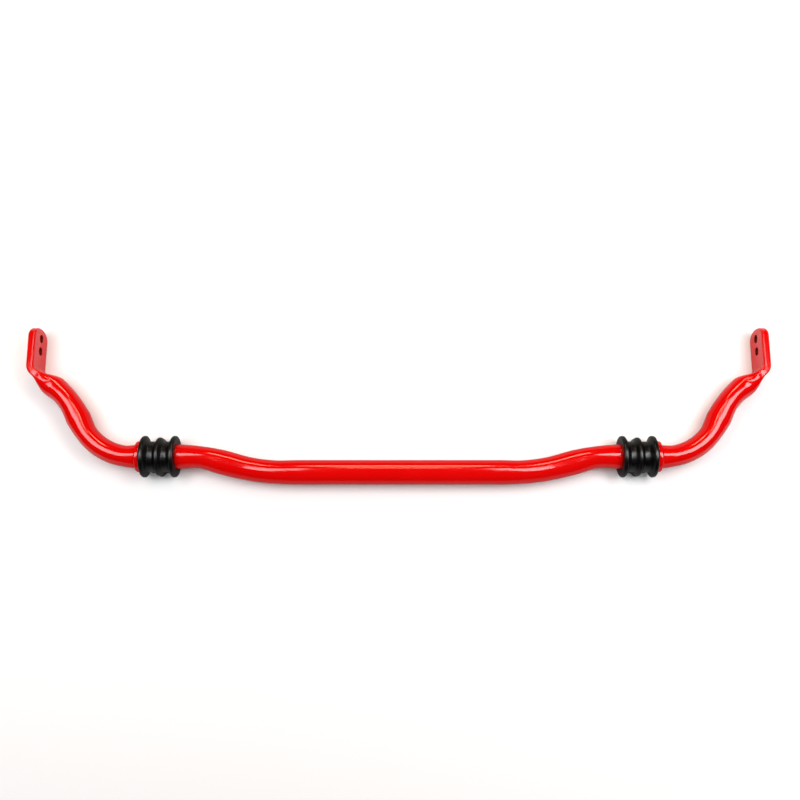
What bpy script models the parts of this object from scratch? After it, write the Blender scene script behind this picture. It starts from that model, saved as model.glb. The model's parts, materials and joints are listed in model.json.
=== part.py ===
# Automotive sway bar: one cranked tube with a pressed blade at each end, two split bushings and two stop
# rings. Metres, +Z up. It lies as on a bench: the flat bases of the bushings and the lower corners of the
# blades rest on z = 0, the bushing axis runs along X and the arms point along +Y.

import math

import bmesh
import bpy
import numpy as np
from mathutils import Matrix

# Tube
BAR_DIAMETER = 0.035
FLATTENING_RADIUS = 0.0125  # a bend of radius r narrows the tube by the share FLATTENING_RADIUS / r
BULGE_SHARE = 0.3  # how much of that loss comes back as height
FLATTENING_REACH = 0.012  # how far the flattening runs out past the ends of a bend

# Centre line of the right half, from the middle outwards
CENTRE_HALF_LENGTH = 0.161
CRANK_ANGLE = math.radians(14.6)
CRANK_INNER_RADIUS = 0.275
CRANK_STRAIGHT = 0.037
CRANK_OUTER_RADIUS = 0.135
ARM_BEND_ANGLE = math.radians(60.7)
ARM_BEND_RADIUS = 0.086
ARM_STRAIGHT = 0.0255
OFFSET_BEND_ANGLE = math.radians(23.5)
OFFSET_BEND_RADIUS = 0.110
FLARE_STRAIGHT = 0.0332
BLADE_BEND_RADIUS = 0.014
BLADE_LENGTH = 0.058  # straight part, from the bend to the tip

# Pressed blade
FLARE_LENGTH = 0.033  # where the round tube turns into the flat section
FLARE_SHIFT = 0.0012  # how far its middle leans to the outside of the bend
BLADE_THICKNESS = 0.0109
BLADE_HEIGHT = 0.048
BLADE_EDGE_RADIUS = 0.003
TIP_RISE = 0.015  # the blade ends in half an ellipse of this rise
LINK_HOLE_DIAMETER = 0.012
LINK_HOLE_FROM_TIP = 0.0155
LINK_HOLE_SPACING = 0.0187

# Split bushing
BUSHING_OFFSET = 0.041  # its middle, from the inner end of the bushing straight
BUSHING_LENGTH = 0.050
BUSHING_CLEARANCE = 0.0003
BUSHING_WALL = 0.0038  # round the bore, between the ribs
FLANGE_HEIGHT = 0.0081  # over the wall
FLANGE_EDGE_RADIUS = 0.003
FLANGE_CREST = 0.002  # width of the flange at its full radius
FLANGE_SLOPE = 0.0075
RIB_HEIGHT = 0.0058  # over the wall
RIB_CREST = 0.002
RIB_SLOPE = 0.006
BASE_WALL = 0.0065  # from the bar down to the flat base
BODY_CORNER = 0.004
RIB_CORNER = 0.010
FLANGE_CORNER = 0.003
SLIT_WIDTH = 0.0008

# Stop ring
RING_WIDTH = 0.0075
RING_WALL = 0.0045
RING_EDGE_RADIUS = 0.0022
RING_CLEARANCE = 0.0003
RING_GAP = 0.0003  # to the flange of the bushing
STRAIGHT_BEYOND_RING = 0.0062  # of the tube, from the ring to the arm bend

# Facets
SECTION_POINTS = 24
HOLE_POINTS = 24
TIP_STATIONS = 8
TIP_LAST_ANGLE = math.radians(8)  # the ellipse stops here, just short of a point
CROWN_POINTS = 6
CORNER_POINTS = 2
SLOPE_STATIONS = 3
RING_POINTS = 24
RING_EDGE_POINTS = 4
SHARP_ANGLE = math.radians(35)

BAR_RADIUS = BAR_DIAMETER / 2
BUSHING_STRAIGHT = BUSHING_OFFSET + BUSHING_LENGTH / 2 + RING_GAP + RING_WIDTH + STRAIGHT_BEYOND_RING
BASE_DEPTH = BAR_RADIUS + BASE_WALL
BODY_RADIUS = BAR_RADIUS + BUSHING_CLEARANCE + BUSHING_WALL
RIB_RADIUS = BODY_RADIUS + RIB_HEIGHT
FLANGE_RADIUS = BODY_RADIUS + FLANGE_HEIGHT
BLADE_BEND_ANGLE = math.pi / 2 - ARM_BEND_ANGLE + OFFSET_BEND_ANGLE  # brings the blade parallel to Y
BUSHING_REACH = CENTRE_HALF_LENGTH + BUSHING_OFFSET + CRANK_STRAIGHT * math.cos(CRANK_ANGLE) + (
    CRANK_INNER_RADIUS + CRANK_OUTER_RADIUS
) * math.sin(CRANK_ANGLE)


def clear_scene():
    for thing in list(bpy.data.objects):
        bpy.data.objects.remove(thing, do_unlink=True)


def paint(name, colour, roughness, metallic=0.0):
    material = bpy.data.materials.new(name)
    material.use_nodes = True
    shader = material.node_tree.nodes["Principled BSDF"]
    shader.inputs["Base Color"].default_value = (*colour, 1.0)
    shader.inputs["Roughness"].default_value = roughness
    shader.inputs["Metallic"].default_value = metallic
    material.diffuse_color = (*colour, 1.0)
    return material


def add_object(name, mesh, material, parent):
    thing = bpy.data.objects.new(name, mesh)
    bpy.context.scene.collection.objects.link(thing)
    thing.data.materials.append(material)
    thing.parent = parent
    return thing


def add_empty(name, parent=None):
    empty = bpy.data.objects.new(name, None)
    bpy.context.scene.collection.objects.link(empty)
    empty.parent = parent
    return empty


def loft(name, loops, closed=False):
    """A skin over equal loops of points, with flat ends, or joined end to start when closed."""
    shape = bmesh.new()
    rings = [[shape.verts.new(point) for point in loop] for loop in loops]
    count = len(rings[0])
    following = rings[1:] + rings[:1] if closed else rings[1:]
    for first, second in zip(rings, following):
        for i in range(count):
            j = (i + 1) % count
            shape.faces.new((first[i], first[j], second[j], second[i]))
    if not closed:
        shape.faces.new(list(reversed(rings[0])))
        shape.faces.new(rings[-1])
    bmesh.ops.triangulate(shape, faces=[face for face in shape.faces if len(face.verts) > 4])
    bmesh.ops.recalc_face_normals(shape, faces=shape.faces)
    mesh = bpy.data.meshes.new(name)
    shape.to_mesh(mesh)
    shape.free()
    mesh.shade_smooth()
    mesh.set_sharp_from_angle(angle=SHARP_ANGLE)
    return mesh


# ---- bar ----


def centre_line():
    """Stretches of the right half as (length, turn in radians, stations)."""
    return [
        (CENTRE_HALF_LENGTH, 0.0, 1),
        (CRANK_INNER_RADIUS * CRANK_ANGLE, CRANK_ANGLE, 4),
        (CRANK_STRAIGHT, 0.0, 1),
        (CRANK_OUTER_RADIUS * CRANK_ANGLE, -CRANK_ANGLE, 4),
        (BUSHING_STRAIGHT, 0.0, 4),
        (ARM_BEND_RADIUS * ARM_BEND_ANGLE, ARM_BEND_ANGLE, 12),
        (ARM_STRAIGHT, 0.0, 2),
        (OFFSET_BEND_RADIUS * OFFSET_BEND_ANGLE, -OFFSET_BEND_ANGLE, 5),
        (FLARE_STRAIGHT, 0.0, 7),
        (BLADE_BEND_RADIUS * BLADE_BEND_ANGLE, BLADE_BEND_ANGLE, 7),
        (BLADE_LENGTH, 0.0, 0),
    ]


def walk(stretches):
    """Follows the stretches from the middle of the bar: distance, x, y and heading at each station."""
    travelled, x, y, heading = 0.0, 0.0, 0.0, 0.0
    stations = [(0.0, x, y, heading)]
    for length, turn, count in stretches:
        for k in range(1, count + 1):
            step = length * k / count
            angle = turn * k / count
            chord = step if turn == 0.0 else 2 * length / turn * math.sin(angle / 2)
            mean = heading + angle / 2
            stations.append(
                (travelled + step, x + chord * math.cos(mean), y + chord * math.sin(mean), heading + angle)
            )
        if count:
            _, x, y, heading = stations[-1]
        travelled += length
    return stations


def tip_stations(start):
    """Stations of the straight blade, placed in equal angles of the ellipse that ends it."""
    distance, x, y, heading = start
    stations = []
    for angle in np.linspace(math.pi / 2, TIP_LAST_ANGLE, TIP_STATIONS):
        step = BLADE_LENGTH - TIP_RISE * (1 - math.cos(angle))
        stations.append((distance + step, x, y + step, heading))
    return stations


def flattening(distance, stretches):
    """Share of the width that the tube bends take at a distance along the bar."""
    lengths = [length for length, _, _ in stretches]
    turns = [abs(turn) for _, turn, _ in stretches]
    turns[-2] = 0.0  # the blade's own bend is made on the flat section
    edges = np.concatenate([[0.0], np.cumsum(lengths)])
    turned = np.concatenate([[0.0], np.cumsum(turns)])
    before, after = np.interp([distance - FLATTENING_REACH, distance + FLATTENING_REACH], edges, turned)
    return FLATTENING_RADIUS * (after - before) / (2 * FLATTENING_REACH)


def smooth(share):
    share = min(max(share, 0.0), 1.0)
    return share * share * (3 - 2 * share)


def section(half_width, half_height, corner_width, corner_height):
    """A rounded outline as (across, up) pairs, with no point where its flats meet its corners."""
    angles = (np.arange(SECTION_POINTS) + 0.5) * 2 * math.pi / SECTION_POINTS
    across = np.sign(np.cos(angles)) * (half_width - corner_width) + corner_width * np.cos(angles)
    up = np.sign(np.sin(angles)) * (half_height - corner_height) + corner_height * np.sin(angles)
    return np.stack([across, up], axis=1)


def bar_loops():
    stretches = centre_line()
    stations = walk(stretches)
    total = sum(length for length, _, _ in stretches)
    flare_end = total - BLADE_LENGTH - BLADE_BEND_RADIUS * BLADE_BEND_ANGLE
    stations += tip_stations(stations[-1])
    crank = crank_depth()
    loops = []
    for distance, x, y, heading in stations:
        loss = flattening(distance, stretches)
        pressed = smooth(1 - (flare_end - distance) / FLARE_LENGTH)
        half_width = BAR_RADIUS * (1 - loss)
        half_height = BAR_RADIUS * (1 + BULGE_SHARE * loss)
        end_height = BLADE_HEIGHT / 2
        past_arch_start = distance - total + TIP_RISE
        if past_arch_start > 0:
            end_height *= math.sqrt(1 - (past_arch_start / TIP_RISE) ** 2)
        edge = min(BLADE_EDGE_RADIUS, end_height)
        outline = section(
            half_width + (BLADE_THICKNESS / 2 - half_width) * pressed,
            half_height + (end_height - half_height) * pressed,
            half_width + (BLADE_EDGE_RADIUS - half_width) * pressed,
            half_height + (edge - half_height) * pressed,
        )
        lean = 4 * FLARE_SHIFT * pressed * (1 - pressed)
        loops.append([
            (x - (across - lean) * math.sin(heading), y - crank + (across - lean) * math.cos(heading), up)
            for across, up in outline
        ])
    left = [[(-x, y, z) for x, y, z in loop] for loop in loops[:0:-1]]
    return left + loops


def crank_depth():
    """How far the middle of the bar sits in front of the bushing axis."""
    arcs = (CRANK_INNER_RADIUS + CRANK_OUTER_RADIUS) * (1 - math.cos(CRANK_ANGLE))
    return arcs + CRANK_STRAIGHT * math.sin(CRANK_ANGLE)


def blade_place():
    """x of the blade's middle plane and y of its tip, from the bushing axis."""
    stations = walk(centre_line())
    _, x, y, _ = stations[-1]
    return x, y - crank_depth() + BLADE_LENGTH


def resting_tilt():
    """Slope of the bar's plane that sets the blades' lower edges on the plane of the bushing bases."""
    _, tip = blade_place()
    half = BLADE_HEIGHT / 2
    reach = tip - TIP_RISE if half < BASE_DEPTH else tip - BLADE_LENGTH
    return math.asin(BASE_DEPTH / math.hypot(reach, half)) - math.atan2(half, reach)


def hole_cutter(frame):
    x, tip = blade_place()
    shape = bmesh.new()
    for side in (-1, 1):
        for k in range(2):
            y = tip - LINK_HOLE_FROM_TIP - k * LINK_HOLE_SPACING
            place = Matrix.Translation((side * x, y, 0)) @ Matrix.Rotation(math.pi / 2, 4, "Y")
            bmesh.ops.create_cone(
                shape, cap_ends=True, segments=HOLE_POINTS, depth=3 * BLADE_THICKNESS,
                radius1=LINK_HOLE_DIAMETER / 2, radius2=LINK_HOLE_DIAMETER / 2, matrix=place,
            )
    bmesh.ops.recalc_face_normals(shape, faces=shape.faces)
    mesh = bpy.data.meshes.new("link_hole_cutter")
    shape.to_mesh(mesh)
    shape.free()
    cutter = bpy.data.objects.new("link_hole_cutter", mesh)
    bpy.context.scene.collection.objects.link(cutter)
    cutter.parent = frame
    cutter.hide_render = True
    cutter.display_type = "WIRE"
    return cutter


def build_bar(frame):
    coat = paint("red_powder_coat", (0.75, 0.008, 0.004), 0.25)
    bar = add_object("bar", loft("bar", bar_loops()), coat, frame)
    cut = bar.modifiers.new("link_holes", "BOOLEAN")
    cut.operation = "DIFFERENCE"
    cut.solver = "EXACT"
    cut.object = hole_cutter(frame)
    return bar


# ---- bushing ----


def arc(centre, radius, start, end, count, endpoint=True):
    """Points of an arc from start to end, both in degrees."""
    angles = np.radians(np.linspace(start, end, count, endpoint=endpoint))
    return [(centre[0] + radius * math.cos(a), centre[1] + radius * math.sin(a)) for a in angles]


def bushing_outline(radius, corner, round_below):
    """Outer outline from the slit's right side, over the top, to its left side.

    round_below keeps it a circle down to the flat base; otherwise straight walls lead down from the axis.
    """
    reach = radius - corner
    drop = BASE_DEPTH - corner
    below = math.degrees(math.asin(drop / reach)) if round_below else 0.0
    corner_centre = (reach * math.cos(math.radians(below)), -drop)
    right = [(SLIT_WIDTH / 2, -BASE_DEPTH)]
    right += arc(corner_centre, corner, 270, 360 - below, CORNER_POINTS, endpoint=False)
    right += arc((0, 0), radius, -below, 90, CROWN_POINTS)
    left = [(-y, z) for y, z in reversed(right[:-1])]
    return np.array(right + left)


def bore_outline(count):
    """The bore from the slit's right side, over the top, to its left side; its flats clear the bar."""
    radius = (BAR_RADIUS + BUSHING_CLEARANCE) / math.cos(math.pi / (count - 1))
    mouth = math.degrees(math.asin(SLIT_WIDTH / 2 / radius))
    return np.array(arc((0, 0), radius, mouth - 90, 270 - mouth, count))


def bushing_profile():
    """Stations from the middle to an end: (x, weight of the rib, weight of the flange, inset)."""
    end = BUSHING_LENGTH / 2
    crest_out = end - FLANGE_EDGE_RADIUS
    crest_in = crest_out - FLANGE_CREST
    stations = [(0.0, 1.0, 0.0, 0.0)]
    for share in np.linspace(0, 1, SLOPE_STATIONS):
        weight = (1 + math.cos(math.pi * share)) / 2
        stations.append((RIB_CREST / 2 + share * RIB_SLOPE, weight, 0.0, 0.0))
    for share in np.linspace(0, 1, SLOPE_STATIONS):
        weight = (1 - math.cos(math.pi * share)) / 2
        stations.append((crest_in - FLANGE_SLOPE * (1 - share), 0.0, weight, 0.0))
    stations.append((crest_out, 0.0, 1.0, 0.0))
    stations.append((end, 0.0, 1.0, FLANGE_EDGE_RADIUS))
    return stations


def bushing_sections():
    """The sections from end to end, each a pair of outlines of equal count: outside and bore."""
    body = bushing_outline(BODY_RADIUS, BODY_CORNER, False)
    rib = bushing_outline(RIB_RADIUS, RIB_CORNER, False)
    bore = bore_outline(len(body))
    half = []
    for x, rib_weight, flange_weight, inset in bushing_profile():
        flange = bushing_outline(FLANGE_RADIUS - inset, FLANGE_CORNER, True)
        outer = body + (rib - body) * rib_weight + (flange - body) * flange_weight
        half.append((x, outer, bore))
    return [(-x, outer, inner) for x, outer, inner in half[:0:-1]] + half


def bushing_mesh(name):
    """A skin over lengthwise loops of the wall, from one side of the slit round to the other."""
    sections = bushing_sections()
    count = len(sections[0][1])
    loops = []
    for i in range(count):
        outside = [(x, *outer[i]) for x, outer, _ in sections]
        inside = [(x, *inner[i]) for x, _, inner in (sections[-1], sections[0])]
        loops.append(outside + inside)
    return loft(name, loops)


def build_bushing(side, frame):
    name = "bushing_left" if side < 0 else "bushing_right"
    bushing = add_object(name, bushing_mesh(name), paint(name, (0.012, 0.012, 0.013), 0.45), frame)
    bushing.location = (side * BUSHING_REACH, 0, 0)
    return bushing


# ---- stop ring ----


def ring_loops():
    """Loops round the bar, each one section of the ring: (x, radius) pairs turned about X."""
    half = RING_WIDTH / 2
    inner = (BAR_RADIUS + RING_CLEARANCE) / math.cos(math.pi / RING_POINTS)
    outer = BAR_RADIUS + RING_WALL
    edge = RING_EDGE_RADIUS
    profile = [(-half, inner)]
    profile += arc((-half + edge, outer - edge), edge, 180, 90, RING_EDGE_POINTS)
    profile += arc((half - edge, outer - edge), edge, 90, 0, RING_EDGE_POINTS)
    profile.append((half, inner))
    loops = []
    for k in range(RING_POINTS):
        angle = 2 * math.pi * k / RING_POINTS
        loops.append([(x, r * math.cos(angle), r * math.sin(angle)) for x, r in profile])
    return loops


def build_ring(side, frame):
    name = "stop_ring_left" if side < 0 else "stop_ring_right"
    mesh = loft(name, ring_loops(), closed=True)
    ring = add_object(name, mesh, paint(name, (0.75, 0.008, 0.004), 0.25), frame)
    ring.location = (side * (BUSHING_REACH + BUSHING_LENGTH / 2 + RING_GAP + RING_WIDTH / 2), 0, 0)
    return ring


# ---- assembly ----


def world_box(things):
    bpy.context.view_layer.update()
    depsgraph = bpy.context.evaluated_depsgraph_get()
    points = []
    for thing in things:
        shown = thing.evaluated_get(depsgraph)
        points += [shown.matrix_world @ vertex.co for vertex in shown.data.vertices]
    points = np.array(points)
    return points.min(axis=0), points.max(axis=0)


def main():
    clear_scene()
    frame = add_empty("bushing_axis")
    bar_frame = add_empty("bar_plane", frame)
    bar_frame.rotation_euler = (-resting_tilt(), 0, 0)
    bar = build_bar(bar_frame)
    pieces = [bar]
    for side in (-1, 1):
        pieces.append(build_ring(side, bar_frame))
        pieces.append(build_bushing(side, frame))
    low, high = world_box(pieces)
    frame.location = (0, -(low[1] + high[1]) / 2, BASE_DEPTH)
    bpy.context.view_layer.update()


main()
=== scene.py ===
# Sway bar on a white sweep: one bent tube with pressed ends, two split bushings and two stop rings.
# Metres, +Z up. The bushing axis runs along X and the arms point along +Y.
import json
import math

import bmesh
import bpy
import numpy as np
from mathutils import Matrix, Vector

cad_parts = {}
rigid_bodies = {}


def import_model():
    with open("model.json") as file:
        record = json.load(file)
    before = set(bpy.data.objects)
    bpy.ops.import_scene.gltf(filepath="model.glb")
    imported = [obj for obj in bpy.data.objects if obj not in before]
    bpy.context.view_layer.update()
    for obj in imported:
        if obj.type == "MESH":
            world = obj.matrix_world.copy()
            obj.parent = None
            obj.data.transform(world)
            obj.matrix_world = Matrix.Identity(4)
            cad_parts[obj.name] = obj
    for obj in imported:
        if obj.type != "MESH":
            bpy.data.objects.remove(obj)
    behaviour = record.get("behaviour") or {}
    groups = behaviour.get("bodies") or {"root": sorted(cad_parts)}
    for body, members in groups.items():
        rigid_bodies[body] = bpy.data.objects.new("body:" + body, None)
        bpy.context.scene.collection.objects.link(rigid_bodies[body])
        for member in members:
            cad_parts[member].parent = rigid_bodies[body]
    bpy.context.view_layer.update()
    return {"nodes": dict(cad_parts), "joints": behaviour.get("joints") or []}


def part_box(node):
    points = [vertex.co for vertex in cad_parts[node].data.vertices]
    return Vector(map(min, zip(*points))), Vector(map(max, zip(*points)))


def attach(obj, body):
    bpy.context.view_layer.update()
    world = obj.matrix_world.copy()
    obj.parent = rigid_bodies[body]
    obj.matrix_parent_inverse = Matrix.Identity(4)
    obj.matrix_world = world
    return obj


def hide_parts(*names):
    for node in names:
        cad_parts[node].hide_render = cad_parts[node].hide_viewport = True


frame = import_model()
print("frame:", len(frame["nodes"]), "nodes")

axisPoint = np.array(frame["joints"][0]["pos_m"])  # a point on the bushing axis
axisY, axisZ = axisPoint[1], axisPoint[2]


# the meshes


def gridQuads(rows, columns, wrapRows, wrapColumns):
    # the quad of cell (i, j) joins (i, j), (i, j + 1), (i + 1, j + 1) and (i + 1, j), wrapped where asked
    i = np.arange(rows if wrapRows else rows - 1)[:, None]
    j = np.arange(columns if wrapColumns else columns - 1)[None, :]
    nextI, nextJ = (i + 1) % rows, (j + 1) % columns
    corners = [i * columns + j, i * columns + nextJ, nextI * columns + nextJ, nextI * columns + j]
    quads = [np.broadcast_to(corner, (i.size, j.size)) for corner in corners]
    return np.stack(quads, axis=-1).reshape(-1, 4)


def meshFromGrid(name, grid, wrapRows=False, wrapColumns=False, capRows=False):
    # a skin over grid[row, column] = (x, y, z); capRows closes the first and last row with one flat face each
    rows, columns = grid.shape[:2]
    faces = gridQuads(rows, columns, wrapRows, wrapColumns).tolist()
    if capRows:
        faces.append(list(range(columns)))
        faces.append(list(range((rows - 1) * columns, rows * columns)))
    mesh = bpy.data.meshes.new(name)
    mesh.from_pydata(grid.reshape(-1, 3).tolist(), [], faces)
    return mesh


def closeAndTurnOut(mesh, mergeDistance=1e-6):
    # merges points closer than mergeDistance and turns every face outwards
    shape = bmesh.new()
    shape.from_mesh(mesh)
    bmesh.ops.remove_doubles(shape, verts=shape.verts, dist=mergeDistance)
    bmesh.ops.recalc_face_normals(shape, faces=shape.faces)
    shape.to_mesh(mesh)
    shape.free()


def smoothShade(mesh, sharpAngle=38):
    # smooth, but for edges that turn by more than sharpAngle degrees
    mesh.shade_smooth()
    mesh.set_sharp_from_angle(angle=math.radians(sharpAngle))


def addPiece(name, mesh, material):
    # the object stays at the origin: its place is in its mesh
    piece = bpy.data.objects.new(name, mesh)
    bpy.context.scene.collection.objects.link(piece)
    mesh.materials.append(material)
    return piece


# the bar

barSizes = {
    "diameter": 0.035,
    "centreHalf": 0.161,  # straight, from the middle of the bar
    "crankAngle": 14.6,
    "crankInnerRadius": 0.275,
    "crankStraight": 0.037,
    "crankOuterRadius": 0.135,
    "bushingStraight": 0.080,
    "armBendAngle": 60.7,
    "armBendRadius": 0.086,
    "armStraight": 0.0255,
    "offsetBendAngle": 23.5,
    "offsetBendRadius": 0.110,
    "flareStraight": 0.0332,
    "bladeBendRadius": 0.014,
    "flatteningRadius": 0.0125,  # a bend of radius r narrows the tube by this over r
    "bulgeShare": 0.3,  # of that loss comes back as height
    "flatteningReach": 0.012,
    "flareLength": 0.033,
    "flareShift": 0.0012,
    "bladeThickness": 0.0109,
    "bladeHeight": 0.048,
    "bladeEdgeRadius": 0.003,
    "tipRise": 0.015,
    "mouthDepth": 0.00035,  # the seam where the tube's walls meet at the tip
    "mouthWidth": 0.0009,
    "holeDiameter": 0.012,
    "holeFromTip": 0.0155,
    "holeSpacing": 0.0187,
    "holeLip": 0.0007,
    "holePoints": 64,
    "holeLipPoints": 7,
    "cornerPoints": 24,
    "edgePoints": 9,
    "stationStep": 0.0022,
    "flareStationStep": 0.0011,
    "tipStations": 40,
}


def barStretches(sizes):
    # (length, turn in radians) from the middle of the bar to the start of the blade
    crank, arm = math.radians(sizes["crankAngle"]), math.radians(sizes["armBendAngle"])
    offset = math.radians(sizes["offsetBendAngle"])
    blade = math.pi / 2 - arm + offset  # brings the blade parallel to Y
    return [
        (sizes["centreHalf"], 0.0),
        (sizes["crankInnerRadius"] * crank, crank),
        (sizes["crankStraight"], 0.0),
        (sizes["crankOuterRadius"] * crank, -crank),
        (sizes["bushingStraight"], 0.0),
        (sizes["armBendRadius"] * arm, arm),
        (sizes["armStraight"], 0.0),
        (sizes["offsetBendRadius"] * offset, -offset),
        (sizes["flareStraight"], 0.0),
        (sizes["bladeBendRadius"] * blade, blade),
    ]


def centreLine(stretches, distances, steps=40000):
    # heading is the summed turn at a distance; x and y are the running sums of its cosine and its sine
    edges = np.concatenate([[0.0], np.cumsum([length for length, turn in stretches])])
    turned = np.concatenate([[0.0], np.cumsum([turn for length, turn in stretches])])
    fine = np.linspace(0, edges[-1], steps + 1)
    middle = np.interp((fine[1:] + fine[:-1]) / 2, edges, turned)
    x = np.concatenate([[0.0], np.cumsum(np.cos(middle) * np.diff(fine))])
    y = np.concatenate([[0.0], np.cumsum(np.sin(middle) * np.diff(fine))])
    return np.interp(distances, fine, x), np.interp(distances, fine, y), np.interp(distances, edges, turned)


def bendLoss(stretches, distances, sizes, samples=25):
    # share of the width that a bend takes: flatteningRadius times the mean curvature within flatteningReach
    edges = np.concatenate([[0.0], np.cumsum([length for length, turn in stretches])])
    turns = [abs(turn) for length, turn in stretches[:-1]] + [0.0]
    turned = np.concatenate([[0.0], np.cumsum(turns)])
    reach = sizes["flatteningReach"]
    window = np.linspace(-reach, reach, samples)
    mean = np.interp(distances[:, None] + window, edges, turned)
    return sizes["flatteningRadius"] * np.gradient(mean.mean(axis=1), distances)


def smoothStep(share):
    # 0 to 1 with level ends: 3 * share^2 - 2 * share^3
    share = np.clip(share, 0.0, 1.0)
    return share * share * (3 - 2 * share)


def stationDistances(stretches, sizes):
    # even steps along each stretch, finer from the flare on
    edges = np.concatenate([[0.0], np.cumsum([length for length, turn in stretches])])
    fineFrom = edges[-1] - sizes["flareLength"] - sizes["bladeBendRadius"]
    steps = [
        np.arange(0, fineFrom, sizes["stationStep"]),
        np.arange(fineFrom, edges[-1], sizes["flareStationStep"]),
        [edges[-1]],
    ]
    return np.concatenate(steps)


def cornerArcs(sizes):
    # quarter arcs of a section's four corners in turn, as cosines and sines, with their signs across and up
    quarter = np.linspace(0, math.pi / 2, sizes["cornerPoints"])
    turns = np.concatenate([quarter, quarter[::-1], quarter, quarter[::-1]])
    cosines, sines = np.cos(turns), np.sin(turns)
    acrossSign = np.repeat([1, -1, -1, 1], sizes["cornerPoints"])
    upSign = np.repeat([1, 1, -1, -1], sizes["cornerPoints"])
    return cosines, sines, acrossSign, upSign


def tubeGrid(sizes, bladeMiddle):
    # a section is four corner arcs set apart: across = sign * (half - corner + corner * cosine), up the same
    stretches = barStretches(sizes)
    distances = stationDistances(stretches, sizes)
    x, y, heading = centreLine(stretches, distances)
    loss = bendLoss(stretches, distances, sizes)
    flareEnd = distances[-1] - stretches[-1][0]
    pressed = smoothStep(1 - (flareEnd - distances) / sizes["flareLength"])
    radius = sizes["diameter"] / 2
    halfWidth, halfHeight = radius * (1 - loss), radius * (1 + sizes["bulgeShare"] * loss)
    cornerWidth = halfWidth + (sizes["bladeEdgeRadius"] - halfWidth) * pressed
    cornerHeight = halfHeight + (sizes["bladeEdgeRadius"] - halfHeight) * pressed
    halfWidth = halfWidth + (sizes["bladeThickness"] / 2 - halfWidth) * pressed
    halfHeight = halfHeight + (sizes["bladeHeight"] / 2 - halfHeight) * pressed
    lean = 4 * sizes["flareShift"] * pressed * (1 - pressed)
    cosines, sines, acrossSign, upSign = cornerArcs(sizes)
    across = acrossSign * ((halfWidth - cornerWidth)[:, None] + cornerWidth[:, None] * cosines)
    across = across - lean[:, None]
    up = upSign * ((halfHeight - cornerHeight)[:, None] + cornerHeight[:, None] * sines)
    shift = bladeMiddle - x[-1]  # under a tenth of a millimetre
    px = (x + shift * pressed)[:, None] - across * np.sin(heading)[:, None]
    py = y[:, None] + across * np.cos(heading)[:, None]
    return np.stack([px, py, up], axis=-1)


def tipGrid(sizes, bladeMiddle, tip):
    # the rim is half an ellipse; each rim point carries an edge arc leaning in along the ellipse's normal
    half, rise = sizes["bladeHeight"] / 2, sizes["tipRise"]
    edge, thick = sizes["bladeEdgeRadius"], sizes["bladeThickness"] / 2
    angle = np.linspace(math.pi / 2, 0, sizes["tipStations"])[:, None]
    rimY, rimUp = tip - rise + rise * np.cos(angle), half * np.sin(angle)
    size = np.hypot(half * np.cos(angle), rise * np.sin(angle))
    normalY, normalUp = half * np.cos(angle) / size, rise * np.sin(angle) / size
    cosines, sines, acrossSign, upSign = cornerArcs(sizes)
    inset = edge * (1 - sines)
    px = bladeMiddle - acrossSign * (thick - edge + edge * cosines)
    py = rimY - normalY * inset
    up = upSign * np.maximum(rimUp - normalUp * inset, 0.0)
    return np.stack([np.broadcast_to(px, py.shape), py, up], axis=-1)


def pressMouth(grid, sizes, bladeMiddle, tip):
    # a furrow along the rim's middle: depth * exp(-(across / width)^2), fading in over half the tip's rise
    across = grid[..., 0] - bladeMiddle
    fade = smoothStep((grid[..., 1] - tip + sizes["tipRise"]) / (0.5 * sizes["tipRise"]))
    furrow = sizes["mouthDepth"] * fade * np.exp(-((across / sizes["mouthWidth"]) ** 2))
    half, rise = sizes["bladeHeight"] / 2, sizes["tipRise"]
    outY, outUp = (grid[..., 1] - tip + rise) / rise**2, grid[..., 2] / half**2
    size = np.maximum(np.hypot(outY, outUp), 1e-9)
    onRim = outY**2 * rise**2 + outUp**2 * half**2 > 0.9  # 1 on the ellipse of the rim itself
    grid[..., 1] -= np.where(onRim, furrow * outY / size, 0)
    grid[..., 2] -= np.where(onRim, furrow * outUp / size, 0)
    return grid


def openRims(grid, sizes):
    # adds edgePoints evenly along the two flat rims of each section, so that a rim can take the seam
    corner, count = sizes["cornerPoints"], sizes["edgePoints"]
    share = (np.arange(1, count + 1) / (count + 1))[None, :, None]
    upper = grid[:, corner - 1, None] * (1 - share) + grid[:, corner, None] * share
    lower = grid[:, 3 * corner - 1, None] * (1 - share) + grid[:, 3 * corner, None] * share
    sides = grid[:, :corner], grid[:, corner : 3 * corner], grid[:, 3 * corner :]
    return np.concatenate([sides[0], upper, sides[1], lower, sides[2]], axis=1)


def holeCutter(sizes, bladeMiddle, tip):
    # a turned profile: the hole's radius, and a quarter round of holeLip where it meets a face of the blade
    lip, thick = sizes["holeLip"], sizes["bladeThickness"] / 2
    turn = np.linspace(0, math.pi / 2, sizes["holeLipPoints"])
    outward = np.concatenate([[thick - lip], thick - lip + lip * np.sin(turn), [thick + lip, 3 * thick]])
    flare = np.concatenate([[0.0], lip * (1 - np.cos(turn)), [2 * lip, 2 * lip]])
    along = np.concatenate([-outward[::-1], outward])
    radius = sizes["holeDiameter"] / 2 + np.concatenate([flare[::-1], flare])
    around = np.linspace(0, 2 * math.pi, sizes["holePoints"], endpoint=False)
    grids = []
    for side in (-1, 1):
        for k in range(2):
            y = tip - sizes["holeFromTip"] - k * sizes["holeSpacing"]
            x = np.broadcast_to(side * bladeMiddle + along[:, None], (along.size, around.size))
            ring = radius[:, None]
            grids.append(np.stack([x, y + ring * np.cos(around), axisZ + ring * np.sin(around)], axis=-1))
    return grids


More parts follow.
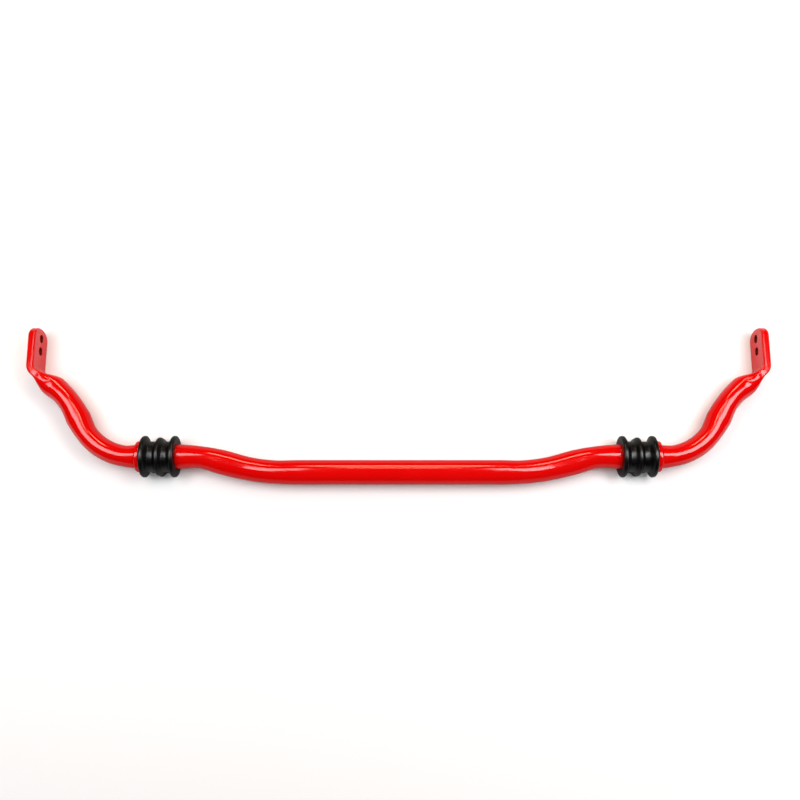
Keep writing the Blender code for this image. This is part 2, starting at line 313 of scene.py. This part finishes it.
def buildBar(sizes, material):
    # half the bar from its middle to a tip, mirrored in x, with the link holes cut through the blades
    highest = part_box("bar")[1]
    bladeMiddle, tip = highest.x - sizes["bladeThickness"] / 2, highest.y
    tube = tubeGrid(sizes, bladeMiddle)
    stretches = barStretches(sizes)
    toBushing = sum(length for length, turn in stretches[:5])  # the crank and the straight under the bushing
    crankDepth = centreLine(stretches, np.array([toBushing]))[1][0]
    tube[..., 1] += axisY - crankDepth
    half = np.concatenate([openRims(tube, sizes), openRims(tipGrid(sizes, bladeMiddle, tip), sizes)])
    half = pressMouth(half, sizes, bladeMiddle, tip)
    half[..., 2] += axisZ
    mirrored = half[:0:-1] * [-1, 1, 1]
    mesh = meshFromGrid("swayBar", np.concatenate([mirrored, half]), wrapColumns=True)
    closeAndTurnOut(mesh)
    bar = addPiece("swayBar", mesh, material)
    for k, grid in enumerate(holeCutter(sizes, bladeMiddle, tip)):
        cutterMesh = meshFromGrid(f"holeCutter{k}", grid, wrapColumns=True, capRows=True)
        closeAndTurnOut(cutterMesh)
        cutter = addPiece(f"holeCutter{k}", cutterMesh, material)
        cut = bar.modifiers.new(f"hole{k}", "BOOLEAN")
        cut.object, cut.operation = cutter, "DIFFERENCE"
    depsgraph = bpy.context.evaluated_depsgraph_get()
    bar.data = bpy.data.meshes.new_from_object(bar.evaluated_get(depsgraph))
    bar.modifiers.clear()
    for cutter in [thing for thing in bpy.data.objects if thing.name.startswith("holeCutter")]:
        bpy.data.objects.remove(cutter)
    smoothShade(bar.data)
    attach(bar, "bar")
    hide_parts("bar")
    print("bar:", len(bar.data.polygons), "faces")


# the bushings

bushingSizes = {
    "length": 0.050,
    "boreClearance": 0.0003,
    "boreLip": 0.0008,
    "flangeRadius": 0.0297,
    "flangeEdge": 0.003,
    "flangeCrest": 0.002,
    "flangeSlope": 0.0075,
    "flangeCorner": 0.003,
    "ribRadius": 0.0274,
    "ribCrest": 0.002,
    "ribSlope": 0.006,
    "ribCorner": 0.010,
    "bodyRadius": 0.0216,
    "bodyCorner": 0.004,
    "slitWidth": 0.0008,
    "basePoints": 8,
    "cornerPoints": 14,
    "crownPoints": 110,
    "slopePoints": 26,
    "edgePoints": 10,
    "lipPoints": 6,
}


def outlineOf(radius, corner, baseDepth, roundBelow, sizes):
    # from the slit along the base, round a corner and over the top, then mirrored;
    # an arc is centre + radius * (cos, sin)
    reach, drop = radius - corner, baseDepth - corner
    below = math.asin(drop / reach) if roundBelow else 0.0
    base = np.linspace(sizes["slitWidth"] / 2, reach * math.cos(below), sizes["basePoints"], endpoint=False)
    turn = np.linspace(-math.pi / 2, -below, sizes["cornerPoints"], endpoint=False)
    crown = np.linspace(-below, math.pi / 2, sizes["crownPoints"])
    y = np.concatenate([base, reach * math.cos(below) + corner * np.cos(turn), radius * np.cos(crown)])
    z = np.concatenate([base * 0 - baseDepth, -drop + corner * np.sin(turn), radius * np.sin(crown)])
    return np.stack([np.concatenate([y, -y[-2::-1]]), np.concatenate([z, z[-2::-1]])], axis=-1)


def bushingProfile(sizes):
    # half the length, middle to end: the rib falls as (1 + cos) / 2, the flange rises as (1 - cos) / 2,
    # and inset rounds the end
    end = sizes["length"] / 2
    crestOut = end - sizes["flangeEdge"]
    crestIn = crestOut - sizes["flangeCrest"]
    share = np.linspace(0, 1, sizes["slopePoints"])
    ease = (1 - np.cos(math.pi * share)) / 2
    turn = np.linspace(0, math.pi / 2, sizes["edgePoints"])
    x = [
        [0.0],
        sizes["ribCrest"] / 2 + share * sizes["ribSlope"],
        crestIn - sizes["flangeSlope"] * (1 - share),
        crestOut + sizes["flangeEdge"] * np.sin(turn),
    ]
    rib = np.concatenate([[1.0], 1 - ease, ease * 0, turn * 0])
    flange = np.concatenate([[0.0], ease * 0, ease, turn * 0 + 1])
    inset = np.concatenate([np.zeros(1 + 2 * share.size), sizes["flangeEdge"] * (1 - np.cos(turn))])
    return np.concatenate(x), rib, flange, inset


def bushingGrid(sizes, centreX, barRadius, baseDepth):
    # columns run out along the outer skin, in over one end, back along the bore and out over the other end
    x, rib, flange, inset = bushingProfile(sizes)
    body = outlineOf(sizes["bodyRadius"], sizes["bodyCorner"], baseDepth, False, sizes)
    ridge = outlineOf(sizes["ribRadius"], sizes["ribCorner"], baseDepth, False, sizes)
    flangeRadii, corner = sizes["flangeRadius"] - inset, sizes["flangeCorner"]
    insets = [outlineOf(radius, corner, baseDepth, True, sizes) for radius in flangeRadii]
    outer = body + (ridge - body) * rib[:, None, None] + (np.stack(insets) - body) * flange[:, None, None]
    bore = barRadius + sizes["boreClearance"]
    mouth = math.asin(sizes["slitWidth"] / 2 / bore)
    angle = np.linspace(-math.pi / 2 + mouth, 1.5 * math.pi - mouth, body.shape[0])
    ray = np.stack([np.cos(angle), np.sin(angle)], axis=-1)
    turn = np.linspace(0, math.pi / 2, sizes["lipPoints"])
    lip = sizes["boreLip"]
    innerX = sizes["length"] / 2 - lip + lip * np.cos(turn)
    inner = ray * (bore + lip - lip * np.sin(turn))[:, None, None]
    halfX, half = np.concatenate([x, innerX]), np.concatenate([outer, inner])
    loopX = np.concatenate([halfX, -halfX[:0:-1]])
    loop = np.concatenate([half, half[:0:-1]])
    grid = np.empty((body.shape[0], loopX.size, 3))
    grid[..., 0] = centreX + loopX
    grid[..., 1] = axisY + loop[..., 0].T
    grid[..., 2] = axisZ + loop[..., 1].T
    return grid


def buildBushing(side, sizes, material):
    # wraps the bore round the tube, stands the base on the node's lowest face
    node = "bushing_left" if side < 0 else "bushing_right"
    low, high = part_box(node)
    grid = bushingGrid(sizes, (low.x + high.x) / 2, barSizes["diameter"] / 2, axisZ - low.z)
    mesh = meshFromGrid(node, grid, wrapColumns=True, capRows=True)
    closeAndTurnOut(mesh)
    smoothShade(mesh)
    bushing = addPiece("splitBushingLeft" if side < 0 else "splitBushingRight", mesh, material)
    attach(bushing, node)
    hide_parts(node)
    print("bushing:", len(mesh.polygons), "faces")


# the stop rings

ringSizes = {
    "clearance": 0.0003,
    "edgeRadius": 0.0022,
    "innerEdge": 0.0005,
    "aroundPoints": 128,
    "edgePoints": 14,
}


def buildRing(side, sizes, material):
    # a turned profile: a bore line, and an outside whose two edges are quarter rounds of edgeRadius
    node = "stop_ring_left" if side < 0 else "stop_ring_right"
    low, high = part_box(node)
    outer = (high.z - low.z) / 2
    inner = barSizes["diameter"] / 2 + sizes["clearance"]
    turn = np.linspace(0, math.pi / 2, sizes["edgePoints"])
    edge, small = sizes["edgeRadius"], sizes["innerEdge"]
    halfX = np.concatenate([edge * np.sin(turn) - edge, small * np.cos(turn) - small])
    half = (high.x - low.x) / 2
    radius = np.concatenate([outer - edge + edge * np.cos(turn), inner + small - small * np.sin(turn)])
    x = np.concatenate([half + halfX, -(half + halfX)[::-1]])
    radius = np.concatenate([radius, radius[::-1]])
    around = np.linspace(0, 2 * math.pi, sizes["aroundPoints"], endpoint=False)[:, None]
    grid = np.empty((around.size, x.size, 3))
    grid[..., 0] = (low.x + high.x) / 2 + x
    grid[..., 1] = axisY + radius * np.cos(around)
    grid[..., 2] = axisZ + radius * np.sin(around)
    mesh = meshFromGrid(node, grid, wrapRows=True, wrapColumns=True)
    closeAndTurnOut(mesh)
    smoothShade(mesh)
    ring = addPiece("stopRingLeft" if side < 0 else "stopRingRight", mesh, material)
    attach(ring, "bar")
    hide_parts(node)
    print("stop ring:", len(mesh.polygons), "faces")


# the finishes


def newGroup(name, inputs, outputs):
    # inputs are (label, kind, value) and outputs (label, kind)
    group = bpy.data.node_groups.new(name, "ShaderNodeTree")
    for label, kind, value in inputs:
        socket = group.interface.new_socket(label, in_out="INPUT", socket_type=kind)
        if value is not None:
            socket.default_value = value
    for label, kind in outputs:
        group.interface.new_socket(label, in_out="OUTPUT", socket_type=kind)
    return group, group.nodes.new("NodeGroupInput"), group.nodes.new("NodeGroupOutput")


def noise(tree, vector, scale, detail=2.0, roughness=0.5):
    # scale is a number or a socket
    node = tree.nodes.new("ShaderNodeTexNoise")
    node.inputs["Detail"].default_value = detail
    node.inputs["Roughness"].default_value = roughness
    tree.links.new(vector, node.inputs["Vector"])
    if isinstance(scale, (int, float)):
        node.inputs["Scale"].default_value = scale
    else:
        tree.links.new(scale, node.inputs["Scale"])
    return node.outputs["Fac"]


def maths(tree, operation, first, second):
    # each operand is a number or a socket
    node = tree.nodes.new("ShaderNodeMath")
    node.operation = operation
    for socket, value in zip(node.inputs, (first, second)):
        if isinstance(value, (int, float)):
            socket.default_value = value
        else:
            tree.links.new(value, socket)
    return node.outputs[0]


def ranged(tree, value, fromLow, fromHigh, toLow, toHigh):
    # from..to as a straight line, held at its two ends
    node = tree.nodes.new("ShaderNodeMapRange")
    tree.links.new(value, node.inputs["Value"])
    limits = {"From Min": fromLow, "From Max": fromHigh, "To Min": toLow, "To Max": toHigh}
    for label, number in limits.items():
        node.inputs[label].default_value = number
    return node.outputs["Result"]


textureLooks = {
    "fineRatio": 3.7,  # the fine noise's scale over the coarse one's
    "driftScale": 14.0,
    "driftRange": (0.3, 0.7),  # of the broad noise, spread over a finish's two roughnesses
    "speckScale": 900.0,
    "speckRange": (0.62, 0.74),
    "patchScale": 25.0,
    "patchRange": (0.45, 0.7),
}


def skinGroup(looks):
    # Height = coarse noise + Fine Share * fine noise at fineRatio times its scale; Drift = broad noise
    group, given, made = newGroup(
        "skinTexture",
        [
            ("Vector", "NodeSocketVector", None),
            ("Scale", "NodeSocketFloat", 500.0),
            ("Fine Share", "NodeSocketFloat", 0.3),
        ],
        [("Height", "NodeSocketFloat"), ("Drift", "NodeSocketFloat")],
    )
    vector, scale = given.outputs["Vector"], given.outputs["Scale"]
    coarse = noise(group, vector, scale, 1.0)
    fine = noise(group, vector, maths(group, "MULTIPLY", scale, looks["fineRatio"]), 2.0)
    height = maths(group, "ADD", coarse, maths(group, "MULTIPLY", fine, given.outputs["Fine Share"]))
    group.links.new(height, made.inputs["Height"])
    group.links.new(noise(group, vector, looks["driftScale"], 3.0), made.inputs["Drift"])
    return group


def dustGroup(looks):
    # Mask = Amount * specks * patches: a fine and a broad noise, each cut off outside its range
    group, given, made = newGroup(
        "settledDust",
        [("Vector", "NodeSocketVector", None), ("Amount", "NodeSocketFloat", 0.3)],
        [("Mask", "NodeSocketFloat")],
    )
    vector = given.outputs["Vector"]
    specks = ranged(group, noise(group, vector, looks["speckScale"], 3.0), *looks["speckRange"], 0.0, 1.0)
    patches = ranged(group, noise(group, vector, looks["patchScale"], 2.0), *looks["patchRange"], 0.0, 1.0)
    mask = maths(group, "MULTIPLY", maths(group, "MULTIPLY", specks, patches), given.outputs["Amount"])
    group.links.new(mask, made.inputs["Mask"])
    return group


skinTexture, settledDust = skinGroup(textureLooks), dustGroup(textureLooks)


def newMaterial(name):
    material = bpy.data.materials.new(name)
    material.use_nodes = True
    tree = material.node_tree
    shader = tree.nodes["Principled BSDF"]
    place = tree.nodes.new("ShaderNodeTexCoord").outputs["Object"]
    return material, tree, shader, place


def placeGroup(tree, group, vector, values):
    # a group's node with its vector linked and its own values set
    node = tree.nodes.new("ShaderNodeGroup")
    node.node_tree = group
    tree.links.new(vector, node.inputs["Vector"])
    for label, value in values.items():
        node.inputs[label].default_value = value
    return node


def blendColours(tree, factor, first, second):
    # first + factor * (second - first), where each colour is a tuple or a socket
    node = tree.nodes.new("ShaderNodeMix")
    node.data_type = "RGBA"
    tree.links.new(factor, node.inputs["Factor"])
    for socket, value in zip((node.inputs["A"], node.inputs["B"]), (first, second)):
        if isinstance(value, tuple):
            socket.default_value = (*value, 1.0)
        else:
            tree.links.new(value, socket)
    return node.outputs["Result"]


def addBump(tree, shader, height, strength, distance):
    # height is 0 to 1, and distance is in metres
    bump = tree.nodes.new("ShaderNodeBump")
    bump.inputs["Strength"].default_value = strength
    bump.inputs["Distance"].default_value = distance
    tree.links.new(height, bump.inputs["Height"])
    tree.links.new(bump.outputs["Normal"], shader.inputs["Normal"])


coatLooks = {
    "deepRed": (0.60, 0.0010, 0.0010),
    "brightRed": (0.65, 0.0013, 0.0012),
    "dustColour": (0.60, 0.20, 0.17),
    "roughness": (0.07, 0.10),
    "peelScale": 420.0,
    "fineShare": 0.15,
    "peelDepth": 0.00004,
    "peelStrength": 0.12,
    "dust": 0.10,
    "dustRoughness": 2.0,  # added where the dust mask is full
    "holeColour": (0.20, 0.0006, 0.0006),  # painted shade: the coat's colour is darkened down in the link holes
    "holeRoughness": 0.25,  # added there
    "holeFade": (0.0001, 0.0004),  # past the hole's radius
    "ior": 1.5,
}


def insideHoles(tree, place, looks, sizes):
    # 1 in the link holes, 0 elsewhere: the distance in y and z from each hole's line, against its radius; it
    #                                   places the painted shade and the added roughness there
    tip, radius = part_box("bar")[1].y, sizes["holeDiameter"] / 2
    fullAt, goneAt = (radius + past for past in looks["holeFade"])
    across = tree.nodes.new("ShaderNodeVectorMath")
    across.operation = "MULTIPLY"
    across.inputs[1].default_value = (0.0, 1.0, 1.0)
    tree.links.new(place, across.inputs[0])
    masks = []
    for k in range(2):
        y = tip - sizes["holeFromTip"] - k * sizes["holeSpacing"]
        reach = tree.nodes.new("ShaderNodeVectorMath")
        reach.operation = "DISTANCE"
        reach.inputs[1].default_value = (0.0, y, axisZ)
        tree.links.new(across.outputs["Vector"], reach.inputs[0])
        masks.append(ranged(tree, reach.outputs["Value"], fullAt, goneAt, 1.0, 0.0))
    return maths(tree, "MAXIMUM", *masks)


def redPowderCoat(looks, sizes):
    # gloss powder coat: broad colour drift, orange peel in the height, a trace of dust, rougher in the holes,
    # where painted shade darkens the colour
    material, tree, shader, place = newMaterial("redPowderCoat")
    peel = {"Scale": looks["peelScale"], "Fine Share": looks["fineShare"]}
    skin = placeGroup(tree, skinTexture, place, peel)
    dust = placeGroup(tree, settledDust, place, {"Amount": looks["dust"]})
    reds = blendColours(tree, skin.outputs["Drift"], looks["deepRed"], looks["brightRed"])
    colour = blendColours(tree, dust.outputs["Mask"], reds, looks["dustColour"])
    holes = insideHoles(tree, place, looks, sizes)
    # painted shade: the base colour is blended to a dark red inside the link holes
    tree.links.new(blendColours(tree, holes, colour, looks["holeColour"]), shader.inputs["Base Color"])
    rough = ranged(tree, skin.outputs["Drift"], *textureLooks["driftRange"], *looks["roughness"])
    dusted = maths(tree, "MULTIPLY", dust.outputs["Mask"], looks["dustRoughness"])
    dulled = maths(tree, "MULTIPLY", holes, looks["holeRoughness"])
    rough = maths(tree, "ADD", maths(tree, "ADD", rough, dusted), dulled)
    tree.links.new(rough, shader.inputs["Roughness"])
    addBump(tree, shader, skin.outputs["Height"], looks["peelStrength"], looks["peelDepth"])
    shader.inputs["IOR"].default_value = looks["ior"]
    return material


rubberLooks = {
    "black": (0.0010, 0.0010, 0.0011),
    "grey": (0.0022, 0.0022, 0.0024),
    "dustColour": (0.05, 0.047, 0.045),
    "roughness": (0.24, 0.34),
    "grainScale": 1500.0,
    "fineShare": 0.5,
    "grainDepth": 0.00005,
    "grainStrength": 0.2,
    "dust": 0.25,
}


def blackPolyurethane(looks):
    # cast polyurethane: nearly black, satin, with a fine moulded grain and a trace of dust
    material, tree, shader, place = newMaterial("blackPolyurethane")
    grain = {"Scale": looks["grainScale"], "Fine Share": looks["fineShare"]}
    skin = placeGroup(tree, skinTexture, place, grain)
    dust = placeGroup(tree, settledDust, place, {"Amount": looks["dust"]})
    blacks = blendColours(tree, skin.outputs["Drift"], looks["black"], looks["grey"])
    colour = blendColours(tree, dust.outputs["Mask"], blacks, looks["dustColour"])
    tree.links.new(colour, shader.inputs["Base Color"])
    rough = ranged(tree, skin.outputs["Drift"], *textureLooks["driftRange"], *looks["roughness"])
    tree.links.new(rough, shader.inputs["Roughness"])
    addBump(tree, shader, skin.outputs["Height"], looks["grainStrength"], looks["grainDepth"])
    return material


redCoat, blackRubber = redPowderCoat(coatLooks, barSizes), blackPolyurethane(rubberLooks)
buildBar(barSizes, redCoat)
for side in (-1, 1):
    buildBushing(side, bushingSizes, blackRubber)
    buildRing(side, ringSizes, redCoat)
print("pieces: done")


# the floor, lights and camera

stageLooks = {
    "floorSize": 8.0,
    "floorGrey": 0.88,
    "floorInGloss": 0.25,  # keeps the coat's edges red where they mirror the floor
    "besideArmsInGloss": 0.62,  # the blades mirror the floor beside them
    "besideArmsFrom": (0.42, 0.50),  # distance in x over which it takes over
    "floorRoughness": 0.6,
    "floorSpecular": 0.1,
    "glowFrom": (0.9, 2.6),  # past the object the sweep brightens into the backdrop
    "farGlow": 0.75,
    "roomFill": 0.45,  # even light from all round, which glossy reflections don't see
    "backdrop": 1.2,
}


def buildStage(looks):
    # a white sweep that keeps its brightness to the eye and is dimmer in reflections, in an even room
    half = looks["floorSize"] / 2
    corners = np.array([[[-half, -half, 0.0], [half, -half, 0.0]], [[-half, half, 0.0], [half, half, 0.0]]])
    material, tree, shader, place = newMaterial("whiteSweep")
    inGloss = tree.nodes.new("ShaderNodeLightPath").outputs["Is Glossy Ray"]
    grey, dim = (looks["floorGrey"],) * 3, (looks["floorInGloss"],) * 3
    apart = tree.nodes.new("ShaderNodeSeparateXYZ")
    tree.links.new(place, apart.inputs[0])
    sideways = maths(tree, "ABSOLUTE", apart.outputs["X"], 0.0)
    besideArms = ranged(tree, sideways, *looks["besideArmsFrom"], 0.0, 1.0)
    mirrored = blendColours(tree, besideArms, dim, (looks["besideArmsInGloss"],) * 3)
    tree.links.new(blendColours(tree, inGloss, grey, mirrored), shader.inputs["Base Color"])
    distance = tree.nodes.new("ShaderNodeVectorMath")
    distance.operation = "LENGTH"
    tree.links.new(place, distance.inputs[0])
    farGlow = ranged(tree, distance.outputs["Value"], *looks["glowFrom"], 0.0, looks["farGlow"])
    glow = maths(tree, "MULTIPLY", farGlow, maths(tree, "SUBTRACT", 1.0, inGloss))
    tree.links.new(glow, shader.inputs["Emission Strength"])
    shader.inputs["Emission Color"].default_value = (1.0, 1.0, 1.0, 1.0)
    shader.inputs["Roughness"].default_value = looks["floorRoughness"]
    shader.inputs["Specular IOR Level"].default_value = looks["floorSpecular"]
    addPiece("whiteSweep", meshFromGrid("whiteSweep", corners), material)
    world = bpy.data.worlds.new("room")
    world.use_nodes = True
    tree = world.node_tree
    seen = tree.nodes.new("ShaderNodeLightPath").outputs["Is Camera Ray"]
    background = tree.nodes["Background"]
    strength = ranged(tree, seen, 0.0, 1.0, looks["roomFill"], looks["backdrop"])
    tree.links.new(strength, background.inputs["Strength"])
    background.inputs["Color"].default_value = (1.0, 1.0, 1.0, 1.0)
    world.cycles_visibility.glossy = False
    bpy.context.scene.world = world
    bpy.context.scene.view_settings.view_transform = "Standard"


panelLooks = {
    # corners of each softbox at its height, for the right side; the left side is mirrored
    "height": 1.3,
    "outer": [(0.46, 0.58), (1.00, 0.36), (1.36, 0.04), (1.25, -0.30), (0.80, -0.38), (0.60, 0.14)],
    "inner": [(0.27, 0.64), (0.32, 0.64), (0.42, 0.14), (0.51, -0.20), (0.40, -0.20), (0.29, 0.14)],
    "far": [(-0.37, 1.52), (0.37, 1.52), (0.37, 2.10), (-0.37, 2.10)],
    "near": [(-0.20, 0.76), (0.20, 0.76), (0.20, 0.90), (-0.20, 0.90)],
    "left": 7.0,
    "right": 9.5,
    "warm": 13.0,
    "white": (1.0, 1.0, 1.0),
    "warmWhite": (1.0, 0.70, 0.46),
}


def addPanel(name, corners, side, brightness, colour):
    # a flat sheet of even brightness, which lights the scene and shows in reflections but not to the camera
    grid = [(side * x, y, panelLooks["height"]) for x, y in corners]
    mesh = bpy.data.meshes.new(name)
    mesh.from_pydata(grid, [], [list(range(len(grid)))])
    material = bpy.data.materials.new(name)
    material.use_nodes = True
    tree = material.node_tree
    tree.nodes.clear()
    glow = tree.nodes.new("ShaderNodeEmission")
    glow.inputs["Color"].default_value = (*colour, 1.0)
    glow.inputs["Strength"].default_value = brightness
    tree.links.new(glow.outputs[0], tree.nodes.new("ShaderNodeOutputMaterial").inputs["Surface"])
    panel = addPiece(name, mesh, material)
    panel.visible_camera = False


def buildLights(looks):
    # two softboxes over each side, and two warm strips across the middle
    for side, label in ((-1, "left"), (1, "right")):
        for kind in ("outer", "inner"):
            addPanel(f"{kind}Panel.{label}", looks[kind], side, looks[label], looks["white"])
    for kind in ("far", "near"):
        addPanel(f"{kind}Panel", looks[kind], 1, looks["warm"], looks["warmWhite"])


cameraLooks = {"sensor": 36.0, "lens": 40.9, "place": (0.002, -0.2431, 1.3156), "tilt": 11.0}


def buildCamera(looks):
    # looks down from in front: a camera's own axis is -Z, tilted up from there about X
    lens = bpy.data.cameras.new("camera")
    lens.sensor_width, lens.lens = looks["sensor"], looks["lens"]
    camera = bpy.data.objects.new("camera", lens)
    bpy.context.scene.collection.objects.link(camera)
    camera.location = looks["place"]
    camera.rotation_euler = (math.radians(looks["tilt"]), 0.0, 0.0)
    bpy.context.scene.camera = camera


buildStage(stageLooks)
buildLights(panelLooks)
buildCamera(cameraLooks)
print("floor, lights and camera: done")
